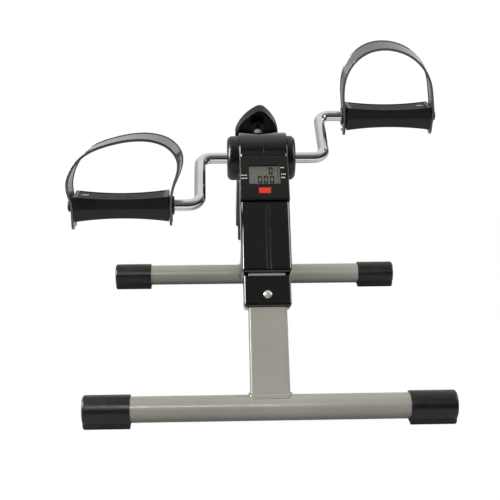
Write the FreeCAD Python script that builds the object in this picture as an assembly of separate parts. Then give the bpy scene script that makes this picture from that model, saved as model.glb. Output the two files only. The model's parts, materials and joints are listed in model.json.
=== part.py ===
import FreeCAD, Part
import math
import os
from FreeCAD import Vector

# Folding pedal exerciser, millimetres.  Origin: on the floor, midway between the four feet.
# +X is the user's right, +Y points away from the user, +Z is up.
# The two columns lean to a common crank axis.  Parts of a column are drawn in a column frame:
# origin on the crank axis, z up the column, -y out of the column's outer face.

# Base and columns
base_length = 386.4
leg_spread = 400.0
tube_centre_z = 16.6
crank_axis_z = 232.1
floor_tube_r = 13.5
tube_wall = 1.5
leg_width = 41.0
leg_depth = 20.0
leg_offset = 13.0
leg_corner_r = 3.0
front_leg_top = -4.0
rear_leg_top = -62.0
weld_leg = 2.0

# End caps
cap_length = 49.0
cap_r = 15.6
cap_end_wall = 3.0
foot_half_width = 11.0
cap_edge_r = 3.0
foot_groove = 1.0
foot_groove_half = 8.0
foot_groove_width = 3.0
foot_groove_xs = (-16.0, -8.0, 8.0, 16.0)

# Head: steel barrel, journals, bushings
barrel_r = 13.0
barrel_bore_r = 9.0
barrel_half = 27.2
journal_r = 11.0
journal_end = 33.5
clip_x = 31.2
clip_width = 1.1
clip_groove_r = 10.2
running_gap = 0.05
bush_depth = 12.0
bush_flange_r = 10.8
bush_flange = 0.9
sensor_x = 16.0
sensor_hole_r = 3.0
sensor_magnet_r = 1.5
magnet_ring_r = 8.4
head_weld_half = 12.0
head_weld_r = 1.6

# Casings and collars, distances out from the crank axis plane
casing_half = 27.2
rear_casing_half = 28.4
casing_wall = 2.2
rear_casing_wall = 2.0
seam_low = 1.3
seam_high = 4.3
seam_depth = 0.3
head_r = 29.0
casing_front = 28.5
casing_back = 1.5
casing_bottom = -150.0
rear_casing_top = -44.0
casing_edge_r = 4.5
head_edge_r = 2.0
collar_top = -153.5
collar_bottom = -189.0
collar_half = 25.4
collar_front = 26.4
collar_back = 1.6
collar_slope = 4.7
collar_edge_r = 3.0
collar_low_edge_r = 4.0
tab_top = -138.0
screw_r = 1.5
screw_head_r = 3.0
screw_head = 1.2
post_r = 3.6
cable_hole_r = 1.2
cable_r = 0.7
side_screw_zs = (-98.0, -130.0)
head_screws = ((20.0, -2.0), (-14.0, 14.0))

# Hinge fork of the rear column and its round covers
cheek_in = 28.2
cheek_plate = 2.5
cheek_r = 19.0
cheek_low_in = 23.8
cheek_front = -22.0
cheek_rear = -4.0
cheek_bend_top = -33.0
cheek_bend_low = -42.0
fork_web = 3.0
cover_in = 27.6
left_cover_out = 40.5
right_cover_out = 36.8
cover_r = 25.3
cover_wall = 2.2
cover_edge_r = 6.0
cover_groove_out = 14.5
cover_groove_in = 13.3
cover_groove = 0.6
cover_peg_r = 1.5
cover_peg_circle = 16.0

# Crank
rod_r = 6.35
crank_radius = 85.0
crank_drop = 22.6
arm_x = 71.5
bend_r = 13.0
spigot_r = 5.0

# Pedals, in a pedal frame whose origin is on the axle at the middle of the pedal; +x is outboard
pedal_x = 155.3
pedal_half = 50.6
pedal_half_depth = 18.4
pedal_half_height = 13.8
pedal_waist = 3.1
pedal_side_waist = 2.2
pedal_rim = 2.2
pedal_end_rim = 4.5
tread_recess = 2.0
tread_thick = 1.2
pedal_draft = 0.7
hub_r = 10.0
hub_out = 56.2
nut_well_r = 7.5
pedal_pocket_xs = ((-46, -17), (-13, 13), (17, 46))
pedal_pocket_ys = ((-14.2, -9.2), (9.2, 14.2))
bush_r = 7.0
pedal_bush = 12.0
nut_x = 40.0
stud_head_r = 6.2
stud_head_x = 55.6
stud_end = 58.6
strap_width = 28.0
strap_thick = 2.8
strap_hole_r = 2.6
strap_hole_zs = (-14.0, 14.0, 24.0)
left_pedal_tilt = -2.4
right_pedal_tilt = 2.6
left_strap_lean = 2.5
right_strap_lean = 13.0

# Tension screw: its axis leans back from the crank axis and stands left of the middle
knob_rise = 28.0
tension_x = -3.5
shoe_r = 6.0
shoe_gap = 1.0
shoe_top = 18.0
boss_r = 9.5
boss_step = 20.0
boss_top = 26.4
neck_r = 4.3
neck_top = 47.0
neck_edge_r = 1.0
neck_hole_r = 5.0
screw_thread_r = 3.0
screw_cap_r = 6.0
knob_base = 49.8
knob_height = 13.2
knob_corner_r = 8.0
knob_corner_d = 20.4
knob_side_r = 55.0
knob_wall = 2.6
knob_hub_r = 8.5
knob_hub_rise = 3.5
knob_twist = 5.5
knob_edge_r = 2.6

# Console, in a face frame: origin at the lower edge of the face, z up the face, +y into the housing
console_low_z = -67.0
console_low_out = 33.6
console_length = 55.2
console_lean = 4.8
console_half = 27.4
console_back = 20.0
console_wall = 2.2
console_edge_r = 1.6
window_half = 17.2
window_low = 19.5
window_high = 43.1
button_half_x = 6.6
button_half_z = 3.75
button_z = 11.4

# Snap buttons
snap_z = -174.6
snap_r = 4.3
snap_face = 26.5
snap_dome = 1.6

half_spread = leg_spread / 2
leg_rise = crank_axis_z - tube_centre_z
reach = math.hypot(half_spread, leg_rise)
leg_length = math.sqrt(reach ** 2 - leg_offset ** 2)
column_tilt = math.degrees(math.atan2(half_spread, leg_rise) - math.asin(leg_offset / reach))
ORIGIN = Vector(0, 0, 0)
X_AXIS = Vector(1, 0, 0)


# Small solids

def box(x0, x1, y0, y1, z0, z1):
    return Part.makeBox(x1 - x0, y1 - y0, z1 - z0, Vector(x0, y0, z0))


def x_rod(radius, x0, x1, y=0.0, z=0.0):
    return Part.makeCylinder(radius, x1 - x0, Vector(x0, y, z), X_AXIS)


def y_rod(radius, y0, y1, x=0.0, z=0.0):
    return Part.makeCylinder(radius, y1 - y0, Vector(x, y0, z), Vector(0, 1, 0))


def z_rod(radius, z0, z1, x=0.0, y=0.0):
    return Part.makeCylinder(radius, z1 - z0, Vector(x, y, z0))


def side_plate(points, x0, x1):
    """Polygon of (y, z) points, x0 to x1."""
    corners = [Vector(x0, y, z) for y, z in points]
    face = Part.Face(Part.makePolygon(corners + corners[:1]))
    return face.extrude(Vector(x1 - x0, 0, 0))


def turned(points):
    """Solid of revolution about X from (x, radius) points."""
    corners = [Vector(x, radius, 0) for x, radius in points]
    face = Part.Face(Part.makePolygon(corners + corners[:1]))
    return face.revolve(ORIGIN, X_AXIS, 360)


def rounded(shape, radius, wanted):
    """Fillet the edges whose middle point and direction satisfy wanted(middle, direction)."""
    chosen = []
    for edge in shape.Edges:
        middle = edge.valueAt((edge.FirstParameter + edge.LastParameter) / 2)
        direction = edge.tangentAt((edge.FirstParameter + edge.LastParameter) / 2)
        if wanted(middle, direction):
            chosen.append(edge)
    return shape.makeFillet(radius, chosen)


def cut_all(shape, tools):
    for tool in tools:
        shape = shape.cut(tool)
    return shape


def both_sides(shape):
    return [shape, shape.mirror(ORIGIN, X_AXIS)]


# Frames

def turned_about_x(shape, degrees):
    copy = shape.copy()
    copy.rotate(ORIGIN, X_AXIS, degrees)
    return copy


def in_front(shape):
    """Column frame to object frame, front column."""
    copy = turned_about_x(shape, -column_tilt)
    copy.translate(Vector(0, 0, crank_axis_z))
    return copy


def at_rear(shape):
    """Column frame to object frame, rear column: the front column's mirror image."""
    return in_front(shape).mirror(ORIGIN, Vector(0, 1, 0))


def on_console(shape):
    """Console face frame to object frame."""
    copy = turned_about_x(shape, -console_lean)
    copy.translate(Vector(0, -console_low_out, console_low_z))
    return in_front(copy)


def on_tension_axis(shape):
    """z runs out along the tension screw from the crank axis."""
    copy = turned_about_x(shape, knob_rise - 90)
    copy.translate(Vector(tension_x, 0, crank_axis_z))
    return copy


def on_crank_axis(shape):
    copy = shape.copy()
    copy.translate(Vector(0, 0, crank_axis_z))
    return copy


def on_pedal(shape, side, degrees):
    """Pedal frame to object frame; side is -1 for the left pedal and 1 for the right one."""
    copy = shape if side > 0 else shape.mirror(ORIGIN, X_AXIS)
    copy = turned_about_x(copy, degrees)
    drop = math.radians(crank_drop)
    arm_y = side * crank_radius * math.cos(drop)
    arm_z = side * crank_radius * math.sin(drop)
    copy.translate(Vector(side * pedal_x, arm_y, crank_axis_z + arm_z))
    return copy


# Base

def floor_tube():
    half = base_length / 2 - cap_end_wall
    tube = x_rod(floor_tube_r, -half, half).cut(x_rod(floor_tube_r - tube_wall, -half, half))
    tube.translate(Vector(0, -leg_offset, -leg_length))
    return tube


def leg_bar(z0, z1, grow=0.0):
    """Solid bar with the leg's outer section, grown all round by grow."""
    half = leg_width / 2 + grow
    depth = leg_depth / 2 + grow
    bar = box(-half, half, -leg_offset - depth, -leg_offset + depth, z0, z1)
    return rounded(bar, leg_corner_r + grow, lambda middle, direction: abs(direction.z) > 0.9)


def floor_tube_hole(radius):
    return x_rod(radius, -leg_width, leg_width, -leg_offset, -leg_length)


def leg_tube(top):
    tube = leg_bar(-leg_length, top).cut(leg_bar(-leg_length - 1, top + 1, -tube_wall))
    tube = tube.cut(floor_tube_hole(floor_tube_r))
    tube = tube.cut(y_rod(snap_r + 0.1, -leg_offset - leg_depth, -leg_offset, 0, snap_z))
    for z in side_screw_zs:
        tube = tube.cut(x_rod(screw_r, -leg_width, leg_width, -leg_offset, z))
    return tube


def floor_weld():
    bead = leg_bar(-leg_length, -leg_length + 2 * floor_tube_r, weld_leg)
    bead = bead.common(floor_tube_hole(floor_tube_r + weld_leg))
    bead = bead.cut(floor_tube_hole(floor_tube_r))
    bead = bead.cut(leg_bar(-leg_length - 1, 0))
    upper = box(-leg_width, leg_width, -leg_width, leg_width, -leg_length, 0)
    return bead.common(upper)


def end_cap(side):
    half = base_length / 2

    def end_edge(middle, direction):
        return middle.x > half - 0.01

    sleeve = x_rod(cap_r, half - cap_length, half)
    foot = box(half - cap_length, half, -foot_half_width, foot_half_width, -tube_centre_z, 0)
    cap = sleeve.fuse(foot).removeSplitter()
    cap = rounded(cap, cap_edge_r, end_edge)
    cap = cap.cut(x_rod(floor_tube_r, half - cap_length - 1, half - cap_end_wall))
    low = -tube_centre_z
    for offset in foot_groove_xs:
        x0 = half - cap_length / 2 + offset - foot_groove_width / 2
        x1 = x0 + foot_groove_width
        cap = cap.cut(box(x0, x1, -foot_groove_half, foot_groove_half, low, low + foot_groove))
    if side < 0:
        cap = cap.mirror(ORIGIN, X_AXIS)
    cap.translate(Vector(0, -half_spread, tube_centre_z))
    return cap


# Head

def bearing_barrel():
    clip_end = clip_x + clip_width
    half_profile = [(barrel_half, barrel_r), (barrel_half, journal_r), (clip_x, journal_r),
                    (clip_x, clip_groove_r), (clip_end, clip_groove_r), (clip_end, journal_r),
                    (journal_end, journal_r), (journal_end, barrel_bore_r)]
    left_profile = [(-x, radius) for x, radius in reversed(half_profile)]
    barrel = turned(left_profile + half_profile)
    barrel = barrel.cut(y_rod(sensor_hole_r, -barrel_r - 1, 0, sensor_x, 0.0))
    barrel = in_front(barrel)
    return barrel.cut(on_tension_axis(z_rod(shoe_r + running_gap, 0, 2 * barrel_r)))


def front_leg():
    return leg_tube(front_leg_top).cut(x_rod(barrel_r, -leg_width, leg_width))


def head_weld():
    """Bead along the barrel, over the front of the leg's coped end."""
    bead = x_rod(head_weld_r, -head_weld_half, head_weld_half,
                 -leg_offset - leg_depth / 2 + 1.5, front_leg_top + 1.0)
    return bead.cut(x_rod(barrel_r, -leg_width, leg_width)).cut(leg_bar(-leg_length, front_leg_top))


def hinge_clip():
    clip = x_rod(barrel_r + 0.2, clip_x + 0.05, clip_x + clip_width - 0.1)
    clip = clip.cut(x_rod(clip_groove_r + 0.05, clip_x, clip_x + clip_width))
    return clip.cut(box(clip_x, clip_x + clip_width, -3, 3, 0, 2 * barrel_r))


def crank_bushing():
    inner = journal_end - bush_depth
    outer = journal_end + bush_flange
    bush_in = rod_r + running_gap
    return turned([(inner, bush_in), (inner, barrel_bore_r), (journal_end, barrel_bore_r),
                   (journal_end, bush_flange_r), (outer, bush_flange_r), (outer, bush_in)])


def tension_boss():
    def top_edge(middle, direction):
        return middle.z > neck_top - 0.01

    neck = rounded(z_rod(neck_r, boss_top - 1, neck_top), neck_edge_r, top_edge)
    boss = z_rod(boss_r, 6, boss_top).fuse(neck)
    boss = boss.cut(z_rod(shoe_r + running_gap, 0, boss_step))
    boss = boss.cut(z_rod(screw_thread_r + running_gap, 0, neck_top + 1))
    return on_tension_axis(boss.cut(x_rod(barrel_r, -leg_width, leg_width)))


# Casings

def column_shell(half, top, inner_half):
    """Hollow shell round a column's leg, open at the bottom."""
    outer = box(-half, half, -casing_front, -casing_back, casing_bottom, top)

    def front_or_low_edge(middle, direction):
        upright = abs(direction.z) > 0.9 and middle.y < 1 - casing_front
        low = middle.z < casing_bottom + 0.01 and middle.y < -casing_back - 0.01
        return upright or low

    outer = rounded(outer, casing_edge_r, front_or_low_edge)
    inner = box(-inner_half, inner_half, casing_wall - casing_front, -leg_offset + leg_depth / 2,
                casing_bottom - 1, top - casing_wall)
    return outer, inner


def front_casing():
    inner_half = casing_half - casing_wall
    outer, inner = column_shell(casing_half, 0.0, inner_half)
    head = x_rod(head_r, -casing_half, casing_half)
    head = rounded(head, head_edge_r, lambda middle, direction: abs(direction.x) < 0.5)
    cavity = inner.fuse(x_rod(head_r - casing_wall, -inner_half, inner_half))
    cavity = cavity.fuse(box(-inner_half, inner_half, casing_wall - casing_front, -3, -30, 0))
    posts = [x_rod(post_r, -inner_half, inner_half, y, z) for y, z in head_screws]
    shell = outer.fuse(head).cut(cavity)
    for post in posts:
        shell = shell.fuse(post)
    shell = shell.fuse(side_posts(inner_half))
    console_pocket = box(-40, 40, -40, -console_back, console_low_z, console_low_z + console_length)
    tools = [x_rod(barrel_r, -40, 40), console_pocket]
    for y, z in head_screws:
        tools.append(x_rod(screw_r, -casing_half, 18.0, y, z))
        tools.append(x_rod(screw_head_r, -casing_half - 1, -casing_half + screw_head, y, z))
    shell = cut_all(shell, tools)
    shell = cut_side_screws(shell, casing_half)
    return shell


def side_posts(inner_half):
    posts = []
    for z in side_screw_zs:
        post = x_rod(post_r, leg_width / 2, inner_half + 0.5, -leg_offset, z)
        posts += both_sides(post)
    return posts[0].multiFuse(posts[1:])


def cut_side_screws(shell, half):
    for z in side_screw_zs:
        for tool in both_sides(side_screw(half, z, 0.0)):
            shell = shell.cut(tool)
    return shell


def side_screw(half, z, recess_cover=0.2):
    shank = x_rod(screw_r, leg_width / 2 - 3, half - screw_head, -leg_offset, z)
    return shank.fuse(x_rod(screw_head_r, half - screw_head, half - recess_cover, -leg_offset, z))


def front_casing_half(side):
    shell = in_front(front_casing())
    shell = shell.cut(on_tension_axis(z_rod(neck_hole_r, boss_top - 3, 2 * head_r)))
    shell = shell.cut(on_tension_axis(z_rod(boss_r, 0, boss_top)))
    shell = shell.cut(in_front(cable(cable_hole_r)))
    seam = box(seam_low, seam_high, -casing_front - 1, -casing_front + seam_depth,
               casing_bottom, console_low_z)
    shell = shell.cut(in_front(seam))
    keep = Part.makeBox(100, 600, 600, Vector(0, -300, -50))
    if side < 0:
        keep = keep.mirror(ORIGIN, X_AXIS)
    return shell.common(keep)


def rear_casing_half_shell(side):
    inner_half = rear_casing_half - rear_casing_wall
    outer, inner = column_shell(rear_casing_half, rear_casing_top, inner_half)
    shell = outer.cut(inner).fuse(side_posts(inner_half))
    slot = box(cheek_low_in - 0.2, inner_half, cheek_front - 0.2, cheek_rear + 0.2, -60, 0)
    shell = cut_all(shell, both_sides(slot))
    shell = cut_side_screws(shell, rear_casing_half)
    keep = box(0, 40, -60, 20, -200, 0)
    if side < 0:
        keep = keep.mirror(ORIGIN, X_AXIS)
    return at_rear(shell.common(keep))


def casing_screws(half, head):
    screws = []
    for z in side_screw_zs:
        screws += both_sides(side_screw(half, z))
    if head:
        for y, z in head_screws:
            screw = x_rod(screw_r, -casing_half + screw_head, 18.0, y, z)
            top = x_rod(screw_head_r, -casing_half + 0.2, -casing_half + screw_head, y, z)
            screws.append(screw.fuse(top))
    return Part.makeCompound(screws)


def collar():
    """Sleeve over the leg under the casing; its lower end rolls under and rises towards the back."""
    def upright_front_edge(middle, direction):
        return abs(direction.z) > 0.9 and middle.y < 1 - collar_front

    def low_edge(middle, direction):
        return middle.z < collar_bottom + collar_slope and middle.y < -collar_back - 0.01

    sleeve = side_plate([(-collar_front, collar_top), (-collar_front, collar_bottom),
                         (-collar_back, collar_bottom + collar_slope), (-collar_back, collar_top)],
                        -collar_half, collar_half)
    sleeve = rounded(sleeve, collar_edge_r, upright_front_edge)
    sleeve = rounded(sleeve, collar_low_edge_r, low_edge)
    tab = box(leg_width / 2, casing_half - casing_wall - 0.2, -leg_offset - 8, -leg_offset + 8,
              collar_top - 2, tab_top)
    for piece in both_sides(tab):
        sleeve = sleeve.fuse(piece)
    sleeve = sleeve.cut(leg_bar(collar_bottom - 1, tab_top + 1))
    return sleeve.cut(y_rod(snap_r + 0.9, -40, -leg_offset, 0, snap_z))


def snap_button():
    base_y = -leg_offset - leg_depth / 2 + tube_wall
    stem = y_rod(snap_r, -snap_face, base_y + 1.5, 0, snap_z)
    flange = y_rod(snap_r + 1.5, base_y + 0.1, base_y + 1.5, 0, snap_z)
    dome_r = (snap_r ** 2 + snap_dome ** 2) / (2 * snap_dome)
    dome = Part.makeSphere(dome_r, Vector(0, -snap_face - snap_dome + dome_r, snap_z))
    dome = dome.common(y_rod(snap_r, -snap_face - 2 * snap_dome, -snap_face, 0, snap_z))
    return stem.fuse(flange).fuse(dome).removeSplitter()


def snap_spring():
    """Bent leaf: one arm behind the button, the other reaching back across the tube."""
    root_y = -leg_offset - leg_depth / 2 + tube_wall + 1.5
    low = snap_z - 32
    points = [(root_y, snap_z + 6), (root_y, low), (root_y + 0.9, low - 0.5), (root_y + 12.3, snap_z + 1),
              (root_y + 11.5, snap_z + 1.4), (root_y + 0.8, low + 2.5), (root_y + 0.8, snap_z + 6)]
    return side_plate(points, -4, 4)


# Hinge fork and covers

def hinge_fork():
    cheek_out = cheek_in + cheek_plate
    low_out = cheek_low_in + cheek_plate
    upper = side_plate([(-cheek_r, 0), (cheek_front, cheek_bend_top), (cheek_rear, cheek_bend_top),
                        (cheek_r * math.cos(math.radians(30)), -cheek_r / 2), (0, 0)], cheek_in, cheek_out)
    upper = upper.fuse(x_rod(cheek_r, cheek_in, cheek_out))
    upper = upper.cut(x_rod(journal_r + running_gap, cheek_in - 1, cheek_out + 1))
    corners = [Vector(x, cheek_front, z) for x, z in
               ((cheek_in, cheek_bend_top), (cheek_out, cheek_bend_top),
                (low_out, cheek_bend_low), (cheek_low_in, cheek_bend_low))]
    bend = Part.Face(Part.makePolygon(corners + corners[:1]))
    bend = bend.extrude(Vector(0, cheek_rear - cheek_front, 0))
    lower = box(cheek_low_in, low_out, cheek_front, cheek_rear, rear_leg_top, cheek_bend_low)
    cheek = upper.fuse(bend).fuse(lower)
    web = box(-cheek_low_in - 1, cheek_low_in + 1, cheek_front, cheek_rear,
              rear_leg_top, rear_leg_top + fork_web)
    return web.multiFuse(both_sides(cheek)).removeSplitter()


def hinge_cover(cover_out):
    disc = x_rod(cover_r, cover_in, cover_out)
    disc = rounded(disc, cover_edge_r, lambda middle, direction: middle.x > cover_out - 0.01)
    pocket_end = cover_out - cover_wall
    disc = disc.cut(x_rod(cover_r - cover_wall, cover_in - 1, pocket_end))
    groove = x_rod(cover_groove_out, cover_out - cover_groove, cover_out + 1)
    disc = disc.cut(groove.cut(x_rod(cover_groove_in, cover_out - 1, cover_out + 2)))
    disc = disc.cut(x_rod(rod_r + 0.55, cover_in, cover_out + 1))
    disc = disc.cut(box(cover_in - 1, cheek_in + cheek_plate + 0.2, -cover_r, 12, -cover_r - 3, -7))
    for angle in (40, 160):
        peg_y = cover_peg_circle * math.cos(math.radians(angle))
        peg_z = cover_peg_circle * math.sin(math.radians(angle))
        disc = disc.fuse(x_rod(cover_peg_r, cheek_in + cheek_plate, pocket_end + 0.5, peg_y, peg_z))
    return disc


# Console

def console_housing():
    low_y = -console_low_out
    front_top = -console_low_out + console_length * math.tan(math.radians(console_lean))
    top_z = console_low_z + console_length - 0.05
    low_z = console_low_z + 0.05
    outer = side_plate([(low_y, low_z), (front_top, top_z), (-console_back - 0.05, top_z),
                        (-console_back - 0.05, low_z)], -console_half, console_half)

    def front_edge(middle, direction):
        return middle.y < front_top + 0.1

    outer = rounded(outer, console_edge_r, front_edge)
    wall = console_wall
    inner = side_plate([(low_y + wall, low_z + wall), (front_top + wall, top_z - wall),
                        (-24.0, top_z - wall), (-24.0, top_z + 1), (10, top_z + 1), (10, low_z + wall)],
                       -console_half + wall, console_half - wall)
    leg_room = box(-leg_width / 2, leg_width / 2, -leg_offset - leg_depth / 2, 10, low_z - 1, low_z + 5)
    shell = in_front(outer.cut(inner).cut(leg_room))
    window = box(-window_half, window_half, -3, 8, window_low, window_high)
    slot = box(-button_half_x - 0.2, button_half_x + 0.2, -3, 8,
               button_z - button_half_z - 0.2, button_z + button_half_z + 0.2)
    shell = shell.cut(on_console(window)).cut(on_console(slot))
    return shell.cut(in_front(cable(cable_hole_r)))


def lcd_lens():
    return box(-window_half, window_half, 0.8, 1.8, window_low, window_high)


def lcd_display():
    return box(-window_half - 1.8, window_half + 1.8, console_wall + 0.15, console_wall + 2.0,
               window_low - 1.8, window_high + 1.8)


def circuit_board():
    return box(-22, 22, 4.4, 5.4, 4.5, 46)


def coin_cell():
    return y_rod(5.8, 5.45, 8.5, -13.0, 11.5)


def reset_button():
    cap = box(-button_half_x, button_half_x, 0.3, console_wall + 0.4,
              button_z - button_half_z, button_z + button_half_z)
    cap = rounded(cap, 0.5, lambda middle, direction: middle.y < 0.31)
    flange = box(-button_half_x - 1, button_half_x + 1, console_wall + 0.35, console_wall + 1.1,
                 button_z - button_half_z - 1, button_z + button_half_z + 1)
    return cap.fuse(flange)


def reed_sensor():
    block = box(11, 21, -18, -11, -3.0, 6).cut(x_rod(barrel_r, 0, 40))
    return block.fuse(y_rod(sensor_hole_r - 0.2, -14, -9.6, sensor_x, 0))


def cable(radius):
    """Sensor lead from the reed sensor to the top of the circuit board, in the column frame."""
    path = Part.BSplineCurve()
    points = [Vector(sensor_x, y, z) for y, z in
              ((-18.3, 3), (-21.5, 2), (-23.9, -5), (-24.0, -12), (-24.7, -21.2))]
    path.interpolate(points)
    wire = Part.Wire(path.toShape())
    ring = Part.Wire(Part.makeCircle(radius, points[0], path.tangent(path.FirstParameter)[0]))
    return wire.makePipeShell([ring], True, True)


# Tension screw

def friction_shoe():
    shoe = z_rod(shoe_r, 0, shoe_top)
    return on_tension_axis(shoe.cut(x_rod(rod_r + 0.1, -20, 20, 0, shoe_gap)).cut(box(-9, 9, -9, 9, -1, 4)))


def knob_outline(inset, z0, z1):
    """Three-lobed prism: round corners joined by gently bulged sides, all tangent."""
    corner_r = knob_corner_r - inset
    side_r = knob_side_r - inset
    gap = knob_side_r - knob_corner_r
    back = (math.sqrt(4 * gap ** 2 - 3 * knob_corner_d ** 2) - knob_corner_d) / 2
    out = []
    for number in range(3):
        angle = math.radians(-90 + 120 * number + knob_twist)
        out.append(Vector(math.cos(angle), math.sin(angle), 0))
    edges = []
    for number in range(3):
        this, after, opposite = out[number], out[(number + 1) % 3], out[(number + 2) % 3]
        centre = opposite * back
        ends = []
        for direction in (this, after):
            spoke = direction * knob_corner_d - centre
            ends.append(centre + spoke.normalize() * side_r)
        edges.append(Part.Arc(ends[0], centre - opposite * side_r, ends[1]).toShape())
        next_centre = this * back
        spoke = after * knob_corner_d - next_centre
        turn_end = next_centre + spoke.normalize() * side_r
        edges.append(Part.Arc(ends[1], after * (knob_corner_d + corner_r), turn_end).toShape())
    face = Part.Face(Part.Wire(edges))
    face.translate(Vector(0, 0, z0))
    return face.extrude(Vector(0, 0, z1 - z0))


def knob():
    top = knob_base + knob_height
    body = knob_outline(0.0, knob_base, top)
    body = rounded(body, knob_edge_r, lambda middle, direction: middle.z > top - 0.01)
    body = body.cut(knob_outline(knob_wall, knob_base - 1, top - knob_wall))
    hub = z_rod(knob_hub_r, knob_base + knob_hub_rise, top - 2)
    return on_tension_axis(body.fuse(hub).cut(knob_screw_solid()))


def knob_screw_solid():
    head_low = knob_base + knob_hub_rise + 2.0
    head_high = head_low + 4.0
    shank = z_rod(screw_thread_r, shoe_top + 0.05, head_low + 1)
    return shank.fuse(z_rod(screw_cap_r, head_low, head_high))


# Crank

def crank_rod():
    end_x = pedal_x - hub_out - 0.3
    low = -crank_radius
    k = bend_r * (1 - math.sqrt(0.5))
    edges = []
    start = Vector(-end_x, 0, low)
    bends = [((-arm_x, low), (-1, 1)), ((-arm_x, 0), (1, -1)),
             ((arm_x, 0), (-1, 1)), ((arm_x, -low), (1, -1))]
    for number, ((x, z), (sx, sz)) in enumerate(bends):
        along_x = Vector(x + sx * bend_r, 0, z)
        along_z = Vector(x, 0, z + sz * bend_r)
        middle = Vector(x + sx * k, 0, z + sz * k)
        first, last = (along_x, along_z) if number % 2 == 0 else (along_z, along_x)
        edges.append(Part.makeLine(start, first))
        edges.append(Part.Arc(first, middle, last).toShape())
        start = last
    edges.append(Part.makeLine(start, Vector(end_x, 0, -low)))
    path = Part.Wire(edges)
    ring = Part.Wire(Part.makeCircle(rod_r, Vector(-end_x, 0, low), X_AXIS))
    rod = path.makePipeShell([ring], True, True)
    spigot_end = pedal_x + nut_x + 4.0
    spigot = x_rod(spigot_r, end_x - 1, spigot_end, 0, -low)
    rod = rod.fuse(spigot)
    rod = rod.fuse(x_rod(spigot_r, -spigot_end, -end_x + 1, 0, low))
    return on_crank_axis(turned_about_x(rod.removeSplitter(), crank_drop - 90))


def magnet_ring():
    ring = x_rod(magnet_ring_r, sensor_x - 4, sensor_x + 4)
    ring = ring.cut(x_rod(rod_r, sensor_x - 5, sensor_x + 5))
    return in_front(ring.cut(y_rod(sensor_magnet_r, -10, -6.9, sensor_x, 0)))


def sensor_magnet():
    return in_front(y_rod(sensor_magnet_r, -8.3, -6.9, sensor_x, 0))


def axle_nut():
    return x_rod(6.9, nut_x, nut_x + 1.6).cut(x_rod(spigot_r, 0, 60))


# Pedals

def waisted(half_x, half_other, waist):
    """Closed outline in the XZ plane whose long sides curve in by waist."""
    low = Part.Arc(Vector(-half_x, 0, -half_other), Vector(0, 0, waist - half_other),
                   Vector(half_x, 0, -half_other)).toShape()
    right = Part.makeLine(Vector(half_x, 0, -half_other), Vector(half_x, 0, half_other))
    high = Part.Arc(Vector(half_x, 0, half_other), Vector(0, 0, half_other - waist),
                    Vector(-half_x, 0, half_other)).toShape()
    left = Part.makeLine(Vector(-half_x, 0, half_other), Vector(-half_x, 0, -half_other))
    return Part.Face(Part.Wire([low, right, high, left]))


def front_view_bar(half_x, half_z, waist):
    outline = waisted(half_x, half_z, waist)
    outline.translate(Vector(0, -50, 0))
    return outline.extrude(Vector(0, 100, 0))


def plan_wire(half_x, half_y, waist, z):
    outline = waisted(half_x, half_y, waist)
    outline.rotate(ORIGIN, X_AXIS, 90)
    outline.translate(Vector(0, 0, z))
    return outline.OuterWire


def plan_bar(half_x, half_y, half_z, waist, draft=0.0):
    """Upright bar, waisted in plan, whose sides lean in by draft above and below its mid-height."""
    slim = half_y - draft
    wires = [plan_wire(half_x, slim, waist, -half_z), plan_wire(half_x, half_y, waist, 0),
             plan_wire(half_x, slim, waist, half_z)]
    return Part.makeLoft(wires, True, True)


def tread_space(depth):
    """Space of the tread pocket, depth below the pedal's top rim and curved like it."""
    half_x = pedal_half - pedal_end_rim
    half_y = pedal_half_depth - pedal_rim
    tall = plan_bar(half_x, half_y, pedal_half_height + 5, pedal_side_waist)
    below = front_view_bar(pedal_half, pedal_half_height - depth, pedal_waist)
    return tall.cut(below).common(box(-60, 60, -30, 30, 0, pedal_half_height + 5))


def pedal_body():
    plan = plan_bar(pedal_half, pedal_half_depth, pedal_half_height, pedal_side_waist, pedal_draft)
    body = front_view_bar(pedal_half, pedal_half_height, pedal_waist).common(plan)

    def long_outer_edge(middle, direction):
        return abs(direction.x) > 0.9 and abs(middle.x) < 1 and abs(middle.z) > 5

    body = rounded(body, 1.4, long_outer_edge)
    body = body.cut(tread_space(tread_recess))
    body = body.fuse(x_rod(hub_r, -hub_out, -pedal_half + 1))
    for x0, x1 in pedal_pocket_xs:
        for y0, y1 in pedal_pocket_ys:
            body = body.cut(box(x0, x1, y0, y1, -20, 5))
    body = body.cut(x_rod(bush_r, -hub_out - 1, nut_x))
    return body.cut(x_rod(nut_well_r, nut_x, pedal_half + 1))


def pedal_tread():
    pad = tread_space(tread_recess).cut(tread_space(tread_recess - tread_thick))
    return pad.common(box(-60, 60, -30, 30, 5, pedal_half_height))


def pedal_bushes():
    bore = spigot_r + running_gap
    shapes = []
    for x0, x1 in ((-hub_out, -hub_out + pedal_bush), (nut_x - pedal_bush, nut_x)):
        shapes.append(x_rod(bush_r, x0, x1).cut(x_rod(bore, x0 - 1, x1 + 1)))
    return Part.makeCompound(shapes)


def strap_stud():
    plug = x_rod(nut_well_r, pedal_half - 3, pedal_half)
    stem = x_rod(3.5, pedal_half - 1, stud_end - 2)
    head = x_rod(stud_head_r, stud_head_x, stud_end)
    head = rounded(head, 2.0, lambda middle, direction: middle.x > stud_end - 0.01)
    return plug.fuse(stem).fuse(head)


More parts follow.
